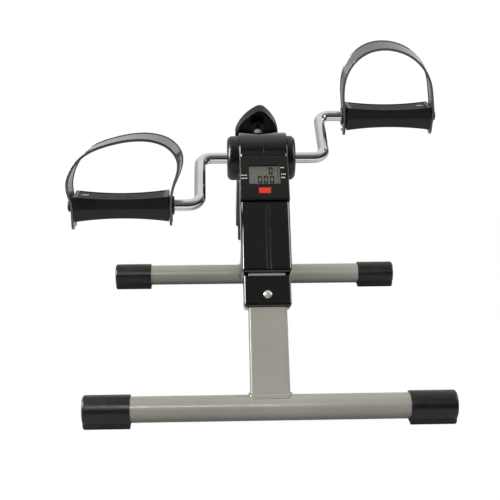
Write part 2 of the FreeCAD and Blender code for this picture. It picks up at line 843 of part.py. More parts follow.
def strap(points):
    """Bent band along a smooth curve through (x, z) points, with its hub and stud holes."""
    curve = Part.BSplineCurve()
    curve.interpolate([Vector(x, 0, z) for x, z in points])
    count = 48
    rims = ([], [])
    for number in range(count + 1):
        span = curve.LastParameter - curve.FirstParameter
        parameter = curve.FirstParameter + span * number / count
        point = curve.value(parameter)
        tangent = curve.tangent(parameter)[0]
        normal = Vector(-tangent.z, 0, tangent.x) * (strap_thick / 2)
        rims[0].append(point + normal)
        rims[1].append(point - normal)
    edges = []
    for rim in rims:
        side_curve = Part.BSplineCurve()
        side_curve.interpolate(rim)
        edges.append(side_curve.toShape())
    edges.append(Part.makeLine(rims[0][0], rims[1][0]))
    edges.append(Part.makeLine(rims[0][-1], rims[1][-1]))
    face = Part.Face(Part.Wire(Part.__sortEdges__(edges)))
    face.translate(Vector(0, -strap_width / 2, 0))
    band = face.extrude(Vector(0, strap_width, 0))
    band = band.cut(x_rod(hub_r + 0.3, -70, -pedal_half))
    band = band.cut(x_rod(3.9, pedal_half, 70))
    for z in strap_hole_zs:
        band = band.cut(x_rod(strap_hole_r, 45, 70, 0, z))
    return band


left_strap_points = ((53, -24.5), (52.9, -10), (53.4, 6), (55.6, 20), (50.5, 42), (36, 59.5), (12, 70.5),
                     (-14, 75.9), (-36, 75.2), (-54.4, 66.9), (-63, 53), (-62, 38.5), (-55.8, 21),
                     (-52.6, 6), (-52.4, -8), (-52.4, -21))
right_strap_points = ((52.8, -21), (52.9, -4), (53.4, 10), (51.4, 24), (46.2, 48), (33, 70), (14, 83.8),
                      (-8, 89.5), (-28, 86.6), (-45.6, 73.2), (-54.2, 56), (-56.4, 36), (-55, 18),
                      (-53.2, 0), (-52.6, -22))


def pedal_nodes(name, side, tilt, lean, points):
    return {
        name + "_pedal_body": on_pedal(pedal_body(), side, tilt),
        name + "_pedal_tread": on_pedal(pedal_tread(), side, tilt),
        name + "_pedal_bushes": on_pedal(pedal_bushes(), side, tilt),
        name + "_strap_stud": on_pedal(strap_stud(), side, tilt),
        name + "_strap": on_pedal(strap(points), side, lean),
    }


def base_nodes():
    nodes = {}
    for name, place in (("front", in_front), ("rear", at_rear)):
        nodes[name + "_floor_tube"] = place(floor_tube())
        nodes[name + "_floor_weld"] = place(floor_weld())
        nodes[name + "_collar"] = place(collar())
        nodes[name + "_snap_button"] = place(snap_button())
        nodes[name + "_snap_spring"] = place(snap_spring())
    for name, side in (("left", -1), ("right", 1)):
        cap = end_cap(side)
        nodes["front_end_cap_" + name] = cap
        nodes["rear_end_cap_" + name] = cap.mirror(ORIGIN, Vector(0, 1, 0))
    return nodes


def head_nodes():
    clip_left, clip_right = both_sides(hinge_clip())
    bush_right, bush_left = both_sides(crank_bushing())
    cover_right = hinge_cover(right_cover_out)
    cover_left = hinge_cover(left_cover_out).mirror(ORIGIN, X_AXIS)
    return {
        "front_leg_tube": in_front(front_leg()),
        "rear_leg_tube": at_rear(leg_tube(rear_leg_top)),
        "bearing_barrel": bearing_barrel(),
        "head_weld": in_front(head_weld()),
        "tension_boss": tension_boss(),
        "hinge_clips": in_front(Part.makeCompound([clip_left, clip_right])),
        "crank_bushing_left": in_front(bush_left),
        "crank_bushing_right": in_front(bush_right),
        "hinge_fork": at_rear(hinge_fork()),
        "hinge_cover_left": at_rear(cover_left),
        "hinge_cover_right": at_rear(cover_right),
        "front_casing_left": front_casing_half(-1),
        "front_casing_right": front_casing_half(1),
        "front_casing_screws": in_front(casing_screws(casing_half, True)),
        "rear_casing_left": rear_casing_half_shell(-1),
        "rear_casing_right": rear_casing_half_shell(1),
        "rear_casing_screws": at_rear(casing_screws(rear_casing_half, False)),
    }


def console_nodes():
    return {
        "console_housing": console_housing(),
        "lcd_lens": on_console(lcd_lens()),
        "lcd_display": on_console(lcd_display()),
        "circuit_board": on_console(circuit_board()),
        "coin_cell": on_console(coin_cell()),
        "reset_button": on_console(reset_button()),
        "reed_sensor": in_front(reed_sensor()),
        "sensor_cable": in_front(cable(cable_r)),
    }


def drive_nodes():
    nuts = []
    for side in (-1, 1):
        nuts.append(on_pedal(axle_nut(), side, 0))
    return {
        "crank_rod": crank_rod(),
        "axle_nuts": Part.makeCompound(nuts),
        "magnet_ring": magnet_ring(),
        "sensor_magnet": sensor_magnet(),
        "friction_shoe": friction_shoe(),
        "tension_knob": knob(),
        "tension_screw": on_tension_axis(knob_screw_solid()),
    }


def main():
    os.makedirs("parts", exist_ok=True)
    nodes = {}
    nodes.update(base_nodes())
    nodes.update(head_nodes())
    nodes.update(console_nodes())
    nodes.update(drive_nodes())
    nodes.update(pedal_nodes("left", -1, left_pedal_tilt, left_strap_lean, left_strap_points))
    nodes.update(pedal_nodes("right", 1, right_pedal_tilt, right_strap_lean, right_strap_points))
    for name, shape in nodes.items():
        shape.exportStep("parts/" + name + ".step")


main()
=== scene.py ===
"""Folding pedal exerciser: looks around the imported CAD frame.  Metres, +Z up, the user on the -Y side."""
import json
import math

import bmesh
import bpy
import numpy as np
from mathutils import Matrix, Vector


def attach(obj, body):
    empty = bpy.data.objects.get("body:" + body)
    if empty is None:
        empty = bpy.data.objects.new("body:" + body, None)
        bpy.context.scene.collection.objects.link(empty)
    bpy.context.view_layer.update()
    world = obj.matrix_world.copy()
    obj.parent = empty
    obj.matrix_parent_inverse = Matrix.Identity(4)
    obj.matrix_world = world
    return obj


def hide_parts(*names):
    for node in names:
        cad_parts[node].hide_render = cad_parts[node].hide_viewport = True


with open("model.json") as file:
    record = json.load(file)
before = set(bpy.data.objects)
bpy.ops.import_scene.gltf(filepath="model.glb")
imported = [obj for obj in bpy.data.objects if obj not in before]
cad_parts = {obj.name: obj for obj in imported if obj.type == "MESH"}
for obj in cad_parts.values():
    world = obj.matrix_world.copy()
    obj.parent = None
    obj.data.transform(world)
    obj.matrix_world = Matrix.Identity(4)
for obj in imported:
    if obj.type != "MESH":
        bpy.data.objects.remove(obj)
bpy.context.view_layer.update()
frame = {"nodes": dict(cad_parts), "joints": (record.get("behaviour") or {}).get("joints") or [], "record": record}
joints = {joint["name"]: joint for joint in frame["joints"]}
MM = 0.001

# Camera of the product view
CAMERA_PLACE = Vector((-0.0574, -1.1458, 0.5115))
CAMERA_DOWN = 18.832
CAMERA_YAW = -2.167
CAMERA_ROLL = 0.114
CAMERA_SENSOR = 36.0
CAMERA_FOCAL = 73.62

# Pedal frames: origin on the axle, +x outboard
PEDAL_HALF = 50.6 * MM
PEDAL_HALF_HEIGHT = 13.8 * MM
PEDAL_WAIST = 3.1 * MM
PEDAL_SIDE_WAIST = 2.2 * MM
STRAP_WIDTH = 28.0 * MM
STRAP_THICK = 2.8 * MM
STRAP_RIM = 2.0 * MM
STRAP_DIP = 0.6 * MM
STRAP_SLOPE = 0.7 * MM
STRAP_CORNER = 0.5 * MM
STRAP_TAIL = 9.0 * MM
STRAP_STEPS = 260
STRAP_HOLE_ZS = (-14.0 * MM, 14.0 * MM, 24.0 * MM)
STRAP_HOLE_R = 2.6 * MM
STUD_HOLE_R = 3.9 * MM
HUB_HOLE_R = 10.3 * MM
OUTER_TAIL = (45.0 * MM, 70.0 * MM)
INNER_TAIL = (-70.0 * MM, -50.0 * MM)
TREAD_HALF_X = 45.9 * MM
TREAD_HALF_Y = 15.9 * MM
TREAD_DEPTH = 2.0 * MM
TREAD_BASE = 0.9 * MM
TREAD_RIB = 0.45 * MM
TREAD_RIBS = 8
TREAD_FADE = 2.2 * MM
TREAD_MARK_X = 40.0 * MM
TREAD_MARK_Y = 1.5 * MM
TREAD_MARK_LENGTH = 8.5 * MM
TREAD_MARK_HEIGHT = 2.6 * MM
TREAD_MARK_THICK = 0.12 * MM

# Each pedal: side, tilt and strap lean in degrees, strap slant, strap middle line as (x, z) in millimetres
PEDALS = {
    "left": {"side": -1, "tilt": -2.4, "lean": 2.5, "slant": -0.13,
             "path": ((53, -24.5), (52.9, -10), (53.4, 6), (55.6, 20), (50.5, 42), (36, 59.5), (12, 70.5),
                      (-14, 75.9), (-36, 75.2), (-54.4, 66.9), (-63, 53), (-62, 38.5), (-55.8, 21),
                      (-52.6, 6), (-52.4, -8), (-52.4, -21))},
    "right": {"side": 1, "tilt": 2.6, "lean": 13.0, "slant": 0.0,
              "path": ((52.8, -21), (52.9, -4), (53.4, 10), (51.4, 24), (46.2, 48), (33, 70), (14, 83.8),
                       (-8, 89.5), (-28, 86.6), (-45.6, 73.2), (-54.2, 56), (-56.4, 36), (-55, 18),
                       (-53.2, 0), (-52.6, -22))},
}

# Console marks, in millimetres from the display's centre: x, y, width, height or number of blocks
DIGITS = ((7.3, 5.8, 4.6, 9.4), (-4.8, -5.2, 5.0, 9.8), (1.8, -5.2, 5.0, 9.8), (8.5, -5.2, 5.0, 9.8))
DISPLAY_DOTS = ((12.0, 6.6, 1.3, 0.9), (12.6, -2.6, 1.3, 0.9), (15.0, 0.0, 0.6, 21.0))
LABELS = ((-22.6, -0.9, 7.0, 3), (-22.4, -4.9, 7.0, 4), (20.0, 8.6, 4.6, 2), (21.2, 0.2, 5.8, 3),
          (20.7, -4.2, 4.8, 2))
LABEL_GAP = 0.5
LABEL_HEIGHT = 1.25
DIGIT_BAR = 1.6 * MM
MARK_THICK = 0.06 * MM
MARK_LIFT = 0.01 * MM
MARK_SINK = 0.02 * MM
FACE_ABOVE_DISPLAY = 2.35 * MM


# ---------------------------------------------------------------- node materials

class Nodes:
    """Small helper round one material's node tree."""

    def __init__(self, name):
        self.material = bpy.data.materials.new(name)
        self.material.use_nodes = True
        self.tree = self.material.node_tree
        self.tree.nodes.clear()
        self.output = self.add("ShaderNodeOutputMaterial")
        self.shader = self.add("ShaderNodeBsdfPrincipled")
        self.link(self.shader, "BSDF", self.output, "Surface")
        self.place = self.add("ShaderNodeTexCoord")

    def add(self, kind, **values):
        node = self.tree.nodes.new(kind)
        for key, value in values.items():
            if key in node.inputs:
                node.inputs[key].default_value = value
            else:
                setattr(node, key, value)
        return node

    def link(self, source, output, target, name):
        self.tree.links.new(source.outputs[output], target.inputs[name])

    def set(self, **values):
        for key, value in values.items():
            self.shader.inputs[key.replace("_", " ")].default_value = value

    def noise(self, scale, detail=3.0, stretch=(1, 1, 1), rough=0.5):
        """Noise in metres of the object's own space, scale features per metre."""
        mapping = self.add("ShaderNodeMapping")
        mapping.inputs["Scale"].default_value = stretch
        self.link(self.place, "Object", mapping, "Vector")
        noise = self.add("ShaderNodeTexNoise", Scale=scale, Detail=detail, Roughness=rough)
        self.link(mapping, "Vector", noise, "Vector")
        return noise

    def voronoi(self, scale):
        cells = self.add("ShaderNodeTexVoronoi", Scale=scale)
        self.link(self.place, "Object", cells, "Vector")
        return cells

    def ramp(self, source, output, stops):
        """Colour ramp; stops are (position, grey or colour)."""
        ramp = self.add("ShaderNodeValToRGB")
        line = ramp.color_ramp
        while len(line.elements) < len(stops):
            line.elements.new(0.5)
        for element, (position, value) in zip(line.elements, stops):
            element.position = position
            colour = (value, value, value) if isinstance(value, (int, float)) else value
            element.color = (*colour, 1)
        self.link(source, output, ramp, "Fac")
        return ramp

    def mix(self, factor, first, second):
        mix = self.add("ShaderNodeMix", data_type="RGBA")
        mix.inputs["A"].default_value = (*first, 1)
        mix.inputs["B"].default_value = (*second, 1)
        self.link(factor, "Color", mix, "Factor")
        return mix

    def bump(self, layers, edge=0.0):
        """Stacks bumps from (node, output, height in metres); edge rounds sharp edges in the shading."""
        last = None
        if edge > 0:
            last = self.add("ShaderNodeBevel", samples=6)
            last.inputs["Radius"].default_value = edge
        for node, output, height in layers:
            bump = self.add("ShaderNodeBump", Strength=1.0, Distance=height)
            self.link(node, output, bump, "Height")
            if last is not None:
                self.link(last, "Normal", bump, "Normal")
            last = bump
        self.link(last, "Normal", self.shader, "Normal")

    def roughness(self, source, low, high):
        ramp = self.ramp(source, "Fac", ((0.3, low), (0.7, high)))
        self.link(ramp, "Color", self.shader, "Roughness")


def painted(name, colour, rough, spread=0.06, edge=0.5 * MM):
    """Sprayed enamel on steel: faint orange peel, slow colour drift, fine dust specks."""
    made = Nodes(name)
    drift = made.noise(9.0, 4.0)
    tone = made.ramp(drift, "Fac", ((0.35, 0.0), (0.65, 1.0)))
    light = tuple(c * (1 + spread) for c in colour)
    dark = tuple(c * (1 - spread) for c in colour)
    made.link(made.mix(tone, dark, light), "Result", made.shader, "Base Color")
    made.roughness(made.noise(60.0, 2.0), rough - 0.05, rough + 0.06)
    made.set(Coat_Weight=0.25, Coat_Roughness=0.12)
    peel = made.noise(700.0, 1.0)
    specks = made.noise(4200.0, 2.0)
    made.bump([(peel, "Fac", 0.05 * MM), (specks, "Fac", 0.012 * MM)], edge)
    return made.material


def moulded(name, colour, rough, grain=0.02, wave=0.05, coat=0.0, edge=0.5 * MM, gleam=0.5):
    """Injection-moulded plastic: spark-eroded grain, slow sink waves, rubbed lighter patches."""
    made = Nodes(name)
    patches = made.ramp(made.noise(26.0, 5.0, rough=0.62), "Fac", ((0.42, 0.0), (0.75, 1.0)))
    light = tuple(c * 1.5 + 0.0008 for c in colour)
    made.link(made.mix(patches, colour, light), "Result", made.shader, "Base Color")
    made.roughness(made.noise(45.0, 4.0), rough * 0.86, rough * 1.18)
    made.set(Coat_Weight=coat, Coat_Roughness=0.06, Specular_IOR_Level=gleam)
    sink = made.noise(38.0, 1.0)
    spark = made.noise(2600.0, 2.0)
    made.bump([(sink, "Fac", wave * MM), (spark, "Fac", grain * MM)], edge)
    return made.material


def rubbery(name, colour, rough, grain=0.05, edge=0.6 * MM):
    """Moulded rubber: fine pebble grain with dusty lighter patches."""
    made = Nodes(name)
    dust = made.ramp(made.noise(34.0, 6.0, rough=0.7), "Fac", ((0.45, 0.0), (0.8, 1.0)))
    light = tuple(c * 1.7 + 0.0015 for c in colour)
    made.link(made.mix(dust, colour, light), "Result", made.shader, "Base Color")
    made.roughness(made.noise(70.0, 3.0), rough - 0.06, rough + 0.09)
    pebbles = made.voronoi(1500.0)
    swell = made.noise(30.0, 2.0)
    made.bump([(pebbles, "Distance", grain * MM), (swell, "Fac", 0.1 * MM)], edge)
    return made.material


def metal(name, colour, rough, brushed=(1, 1, 1), scratch=0.004, edge=0.3 * MM, metallic=1.0):
    """Bare or plated metal with directional micro scratches and cloudy roughness."""
    made = Nodes(name)
    made.set(Metallic=metallic)
    cloud = made.ramp(made.noise(30.0, 4.0), "Fac", ((0.3, 0.0), (0.7, 1.0)))
    dark = tuple(c * 0.9 for c in colour)
    made.link(made.mix(cloud, dark, colour), "Result", made.shader, "Base Color")
    made.roughness(made.noise(120.0, 4.0), rough * 0.8, rough * 1.3)
    made.bump([(made.noise(900.0, 4.0, stretch=brushed), "Fac", scratch * MM)], edge)
    return made.material


def display_panel():
    """Grey-green liquid crystal panel, faintly cloudy."""
    made = Nodes("lcd_glass")
    cloud = made.ramp(made.noise(40.0, 3.0), "Fac", ((0.3, 0.0), (0.7, 1.0)))
    tone = made.mix(cloud, (0.138, 0.148, 0.118), (0.156, 0.164, 0.134))
    made.link(tone, "Result", made.shader, "Base Color")
    made.set(Roughness=0.35)
    made.bump([(made.noise(5000.0, 1.0), "Fac", 0.004 * MM)])
    return made.material


def clear_window():
    """Clear lens that shows little but its own gloss."""
    made = Nodes("clear_lens")
    made.set(Base_Color=(0.01, 0.01, 0.01, 1), Roughness=0.04, Alpha=0.04)
    made.bump([(made.noise(25.0, 1.0), "Fac", 0.01 * MM)])
    return made.material


def plain(name, colour, rough):
    """Printed ink with a little tone variation."""
    made = Nodes(name)
    spots = made.ramp(made.noise(900.0, 3.0), "Fac", ((0.3, 0.0), (0.7, 1.0)))
    made.link(made.mix(spots, tuple(c * 0.88 for c in colour), colour), "Result", made.shader, "Base Color")
    made.set(Roughness=rough)
    return made.material


def board_green():
    """Solder-masked board with faint copper runs."""
    made = Nodes("board_green")
    runs = made.ramp(made.voronoi(420.0), "Distance", ((0.04, 1.0), (0.09, 0.0)))
    made.link(made.mix(runs, (0.02, 0.12, 0.05), (0.09, 0.22, 0.08)), "Result", made.shader, "Base Color")
    made.set(Roughness=0.35)
    return made.material


MATERIALS = {
    "leg_paint": painted("leg_paint", (0.325, 0.315, 0.275), 0.34),
    "black_steel": painted("black_steel", (0.006, 0.006, 0.0063), 0.34),
    "bare_steel": metal("bare_steel", (0.66, 0.63, 0.57), 0.3, scratch=0.006, metallic=0.55),
    "chrome_rod": metal("chrome_rod", (0.84, 0.84, 0.86), 0.035, brushed=(0.06, 1, 1), scratch=0.0012),
    "gloss_black": moulded("gloss_black", (0.0022, 0.0022, 0.0026), 0.14, grain=0.002, wave=0.04, coat=0.4,
                           edge=0.2 * MM),
    "satin_black": moulded("satin_black", (0.003, 0.003, 0.0032), 0.31, grain=0.006, wave=0.03),
    "rubber_black": rubbery("rubber_black", (0.0035, 0.0035, 0.0037), 0.34, grain=0.025),
    "pedal_plastic": moulded("pedal_plastic", (0.0028, 0.0028, 0.003), 0.34, grain=0.01),
    "strap_rubber": moulded("strap_rubber", (0.007, 0.007, 0.0072), 0.28, grain=0.001, wave=0.02, coat=0.9,
                            edge=0.0, gleam=0.9),
    "bush_nylon": moulded("bush_nylon", (0.72, 0.7, 0.64), 0.4, grain=0.006),
    "lcd_glass": display_panel(),
    "clear_lens": clear_window(),
    "board_green": board_green(),
    "magnet_dark": metal("magnet_dark", (0.25, 0.25, 0.26), 0.35),
    "button_red": moulded("button_red", (0.6, 0.034, 0.012), 0.34, grain=0.008),
    "label_ink": plain("label_ink", (0.78, 0.78, 0.78), 0.5),
    "segment_ink": plain("segment_ink", (0.002, 0.0022, 0.002), 0.5),
}

slot_of = {part["node"]: part["material_slot"] for part in frame["record"]["subparts"]}
for node_name, node in frame["nodes"].items():
    node.data.materials.clear()
    node.data.materials.append(MATERIALS[slot_of[node_name]])


# ---------------------------------------------------------------- mesh helpers

def piece(name, verts, faces, slot, body, place=Matrix.Identity(4), smooth=35.0):
    """New mesh piece in the row frame that rides on a body and takes a material slot."""
    mesh = bpy.data.meshes.new(name)
    mesh.from_pydata([tuple(v) for v in verts], [], faces)
    made = bmesh.new()
    made.from_mesh(mesh)
    bmesh.ops.remove_doubles(made, verts=made.verts, dist=1e-7)
    bmesh.ops.recalc_face_normals(made, faces=made.faces)
    made.to_mesh(mesh)
    made.free()
    mesh.transform(place)
    mesh.shade_smooth()
    mesh.set_sharp_from_angle(angle=math.radians(smooth))
    mesh.materials.append(MATERIALS[slot])
    obj = bpy.data.objects.new(name, mesh)
    bpy.context.scene.collection.objects.link(obj)
    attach(obj, body)
    return obj


def tube_faces(rings, size, closed=False):
    """Quads between consecutive rings of size points each, with flat ends unless closed."""
    faces = []
    count = rings if closed else rings - 1
    for ring in range(count):
        after = (ring + 1) % rings
        for index in range(size):
            other = (index + 1) % size
            near, far = ring * size, after * size
            faces.append((near + index, near + other, far + other, far + index))
    if not closed:
        faces.append(tuple(range(size)))
        faces.append(tuple(range((rings - 1) * size, rings * size)))
    return faces


def smooth_path(points, count):
    """Evenly spaced points and tangents on the natural cubic curve through (x, z) points."""
    data = np.array(points, float) * MM
    chord = np.concatenate([[0], np.cumsum(np.linalg.norm(np.diff(data, axis=0), axis=1))])
    size = len(chord)
    gap = np.diff(chord)
    system = np.eye(size)
    right = np.zeros((size, 2))
    for row in range(1, size - 1):
        system[row, row - 1:row + 2] = (gap[row - 1], 2 * (gap[row - 1] + gap[row]), gap[row])
        slope_after = (data[row + 1] - data[row]) / gap[row]
        slope_before = (data[row] - data[row - 1]) / gap[row - 1]
        right[row] = 6 * (slope_after - slope_before)
    second = np.linalg.solve(system, right)

    def at(s):
        k = min(max(int(np.searchsorted(chord, s) - 1), 0), size - 2)
        h = gap[k]
        a, b = (chord[k + 1] - s) / h, (s - chord[k]) / h
        curve = ((a ** 3 - a) * second[k] + (b ** 3 - b) * second[k + 1]) * h * h / 6
        return a * data[k] + b * data[k + 1] + curve

    fine = np.array([at(s) for s in np.linspace(0, chord[-1], 1200)])
    length = np.concatenate([[0], np.cumsum(np.linalg.norm(np.diff(fine, axis=0), axis=1))])
    wanted = np.linspace(0, length[-1], count)
    even = np.stack([np.interp(wanted, length, fine[:, axis]) for axis in range(2)], axis=1)
    tangent = np.gradient(even, axis=0)
    tangent /= np.linalg.norm(tangent, axis=1)[:, None]
    return even, tangent, wanted


def slab(width, height, thick, x, y, z):
    """Eight corners and six faces of a small bar with cut corners."""
    cut = min(width, height) * 0.28
    ring = [(-width / 2 + cut, -height / 2), (width / 2 - cut, -height / 2), (width / 2, -height / 2 + cut),
            (width / 2, height / 2 - cut), (width / 2 - cut, height / 2), (-width / 2 + cut, height / 2),
            (-width / 2, height / 2 - cut), (-width / 2, -height / 2 + cut)]
    verts = []
    for level in (0, thick):
        verts += [(x + px, y + py, z + level) for px, py in ring]
    return verts, tube_faces(2, 8)


def carve(obj, cutter):
    """Takes the cutter out of obj and applies the result to its mesh."""
    change = obj.modifiers.new("carve", "BOOLEAN")
    change.operation = "DIFFERENCE"
    change.solver = "EXACT"
    change.object = cutter
    bpy.context.view_layer.update()
    graph = bpy.context.evaluated_depsgraph_get()
    result = bpy.data.meshes.new_from_object(obj.evaluated_get(graph))
    obj.modifiers.clear()
    obj.data = result
    obj.data.shade_smooth()
    obj.data.set_sharp_from_angle(angle=math.radians(35))
    bpy.data.objects.remove(cutter)


def pedal_place(name, degrees):
    """Pedal frame (mirrored for the left one) to the row frame."""
    joint = joints[name + "_pedal_spin"]
    side = PEDALS[name]["side"]
    flip = Matrix.Diagonal((side, 1, 1, 1))
    turn = Matrix.Rotation(math.radians(degrees), 4, "X")
    return Matrix.Translation(joint["pos_m"]) @ turn @ flip


# ---------------------------------------------------------------- straps

def strap_section():
    """Closed (across, out) outline of the band: a thin web between two rounded, thicker edges."""
    half = STRAP_WIDTH / 2
    thick = STRAP_THICK / 2
    flat, rise = half - STRAP_CORNER, thick - STRAP_CORNER
    corner_steps = 4
    quarter = []
    for step in range(corner_steps + 1):
        angle = math.radians(90 * step / corner_steps)
        quarter.append((flat + STRAP_CORNER * math.cos(angle), rise + STRAP_CORNER * math.sin(angle)))
    quarter.append((half - STRAP_RIM, thick))
    quarter.append((half - STRAP_RIM - STRAP_SLOPE, thick - STRAP_DIP))
    outline = [(x, -y) for x, y in reversed(quarter)] + quarter
    return outline + [(-x, -y) for x, y in outline]


def strap_taper(distance, length):
    """Share of the full width near the rounded tails."""
    narrow = 0.45
    share = 1.0
    for gap in (distance, length - distance):
        if gap < STRAP_TAIL:
            round_off = math.sqrt(max(0.0, 1 - (1 - gap / STRAP_TAIL) ** 2))
            share = min(share, narrow + (1 - narrow) * round_off)
    return share


def hole_cutter(centre_z, radius, reach, place):
    """Round bar along x, from reach[0] to reach[1], in the pedal frame."""
    sides = 28
    verts = []
    for x in reach:
        for index in range(sides):
            angle = 2 * math.pi * index / sides
            verts.append((x, radius * math.cos(angle), centre_z + radius * math.sin(angle)))
    mesh = bpy.data.meshes.new("cutter")
    mesh.from_pydata(verts, [], tube_faces(2, sides))
    made = bmesh.new()
    made.from_mesh(mesh)
    bmesh.ops.recalc_face_normals(made, faces=made.faces)
    made.to_mesh(mesh)
    made.free()
    mesh.transform(place)
    cutter = bpy.data.objects.new("cutter", mesh)
    bpy.context.scene.collection.objects.link(cutter)
    return cutter


def build_strap(name):
    """Moulded band over the foot, with its setting holes, hub hole and stud hole."""
    spec = PEDALS[name]
    slant_from, slant_over = 10 * MM, 20 * MM
    even, tangent, along = smooth_path(spec["path"], STRAP_STEPS)
    section = strap_section()
    verts = []
    for (x, z), (tx, tz), distance in zip(even, tangent, along):
        share = strap_taper(distance, along[-1])
        slant = spec["slant"] * min(1.0, max(0.0, (z - slant_from) / slant_over))
        for across, out in section:
            verts.append((x + slant * across + tz * out, across * share, z - tx * out))
    place = pedal_place(name, spec["lean"])
    band = piece(name + "_strap_band", verts, tube_faces(STRAP_STEPS, len(section)), "strap_rubber",
                 name + "_pedal", place, 50)
    for z in STRAP_HOLE_ZS:
        carve(band, hole_cutter(z, STRAP_HOLE_R, OUTER_TAIL, place))
    carve(band, hole_cutter(0, HUB_HOLE_R, INNER_TAIL, place))
    carve(band, hole_cutter(0, STUD_HOLE_R, OUTER_TAIL, place))
    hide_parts(name + "_strap")


# ---------------------------------------------------------------- pedal treads

def tread_level(x):
    """Height of the pad's underside in the sagging pocket at x."""
    sag = PEDAL_WAIST * (1 - (x / PEDAL_HALF) ** 2)
    return PEDAL_HALF_HEIGHT - sag - TREAD_DEPTH


def rib_height(x, v):
    """Ribs run along x and fade out at the pad's rim; v goes from -1 to 1 across the pad."""
    wave = 0.5 + 0.5 * math.cos(2 * math.pi * TREAD_RIBS * v)
    fade = min(1.0, (1 - abs(v)) * 14, (TREAD_HALF_X - abs(x)) / TREAD_FADE)
    return TREAD_RIB * wave ** 0.6 * fade


def build_tread(name):
    """Ribbed pad in the pedal's top pocket, following its sag, with one printed bar."""
    columns, rows = 60, 80
    verts, faces = [], []
    for level in range(2):
        for row in range(rows + 1):
            for column in range(columns + 1):
                x = -TREAD_HALF_X + 2 * TREAD_HALF_X * column / columns
                width = TREAD_HALF_Y - PEDAL_SIDE_WAIST * (1 - (x / TREAD_HALF_X) ** 2)
                v = -1 + 2 * row / rows
                z = tread_level(x)
                if level:
                    z += TREAD_BASE + rib_height(x, v)
                verts.append((x, width * v, z))
    size = (rows + 1) * (columns + 1)
    for level in range(2):
        for row in range(rows):
            for column in range(columns):
                a = level * size + row * (columns + 1) + column
                faces.append((a, a + 1, a + columns + 2, a + columns + 1))
    loop = list(range(columns + 1))
    loop += [row * (columns + 1) + columns for row in range(1, rows + 1)]
    loop += [rows * (columns + 1) + column for column in range(columns - 1, -1, -1)]
    loop += [row * (columns + 1) for row in range(rows - 1, 0, -1)]
    for first, second in zip(loop, loop[1:] + loop[:1]):
        faces.append((first, second, second + size, first + size))
    place = pedal_place(name, PEDALS[name]["tilt"])
    pad = piece(name + "_tread_pad", verts, faces, "rubber_black", name + "_pedal", place, 50)
    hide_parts(name + "_pedal_tread")
    mark_z = tread_level(TREAD_MARK_X) + TREAD_BASE + TREAD_RIB - MARK_SINK
    mark, mark_faces = slab(TREAD_MARK_LENGTH, TREAD_MARK_HEIGHT, TREAD_MARK_THICK, TREAD_MARK_X,
                            TREAD_MARK_Y, mark_z)
    piece(name + "_tread_mark", mark, mark_faces, "label_ink", name + "_pedal", place)


# ---------------------------------------------------------------- console marks

def console_place():
    """Frame on the display's front face: x right, y up the face, z outward."""
    out = -Vector(joints["reset_press"]["axis"]).normalized()
    up = Vector((1, 0, 0)).cross(out) * -1
    display = frame["nodes"]["lcd_display"]
    corners = [Vector(v.co) for v in display.data.vertices]
    level = max(c.dot(out) for c in corners)
    heights = [c.dot(up) for c in corners]
    centre = out * level + up * ((min(heights) + max(heights)) / 2)
    basis = Matrix((Vector((1, 0, 0)), up, out)).transposed().to_4x4()
    return Matrix.Translation(centre) @ basis


def merged(parts):
    verts, faces = [], []
    for more_verts, more_faces in parts:
        start = len(verts)
        verts += more_verts
        faces += [tuple(index + start for index in face) for face in more_faces]
    return verts, faces


def digit_zero(x, y, width, height):
    """The six lit segments of a seven-segment zero."""
    bar, gap = DIGIT_BAR, 0.1 * MM
    side = height / 2 - bar - gap
    parts = []
    for sy in (-1, 1):
        parts.append(slab(width - bar - gap, bar, MARK_THICK, x, y + sy * (height - bar) / 2, MARK_LIFT))
        for sx in (-1, 1):
            parts.append(slab(bar, side + bar / 2, MARK_THICK, x + sx * (width - bar) / 2,
                              y + sy * (side + bar) / 2, MARK_LIFT))
    return parts


def build_display_marks():
    parts = []
    for x, y, width, height in DIGITS:
        parts += digit_zero(x * MM, y * MM, width * MM, height * MM)
    for x, y, width, height in DISPLAY_DOTS:
        parts.append(slab(width * MM, height * MM, MARK_THICK, x * MM, y * MM, MARK_LIFT))
    verts, faces = merged(parts)
    piece("display_segments", verts, faces, "segment_ink", "front_frame", console_place())


def build_label_bars():
    """Generic printed blocks beside the display, on the console face, where the real one has words."""
    parts = []
    for x, y, width, blocks in LABELS:
        block = width / blocks
        for number in range(blocks):
            centre = x - width / 2 + block * (number + 0.5)
            parts.append(slab((block - LABEL_GAP) * MM, LABEL_HEIGHT * MM, MARK_THICK, centre * MM, y * MM,
                              FACE_ABOVE_DISPLAY - MARK_SINK))
    verts, faces = merged(parts)
    piece("label_bars", verts, faces, "label_ink", "front_frame", console_place())


for pedal_name in PEDALS:
    build_strap(pedal_name)
    build_tread(pedal_name)
build_display_marks()
build_label_bars()


# ---------------------------------------------------------------- stage, light, camera

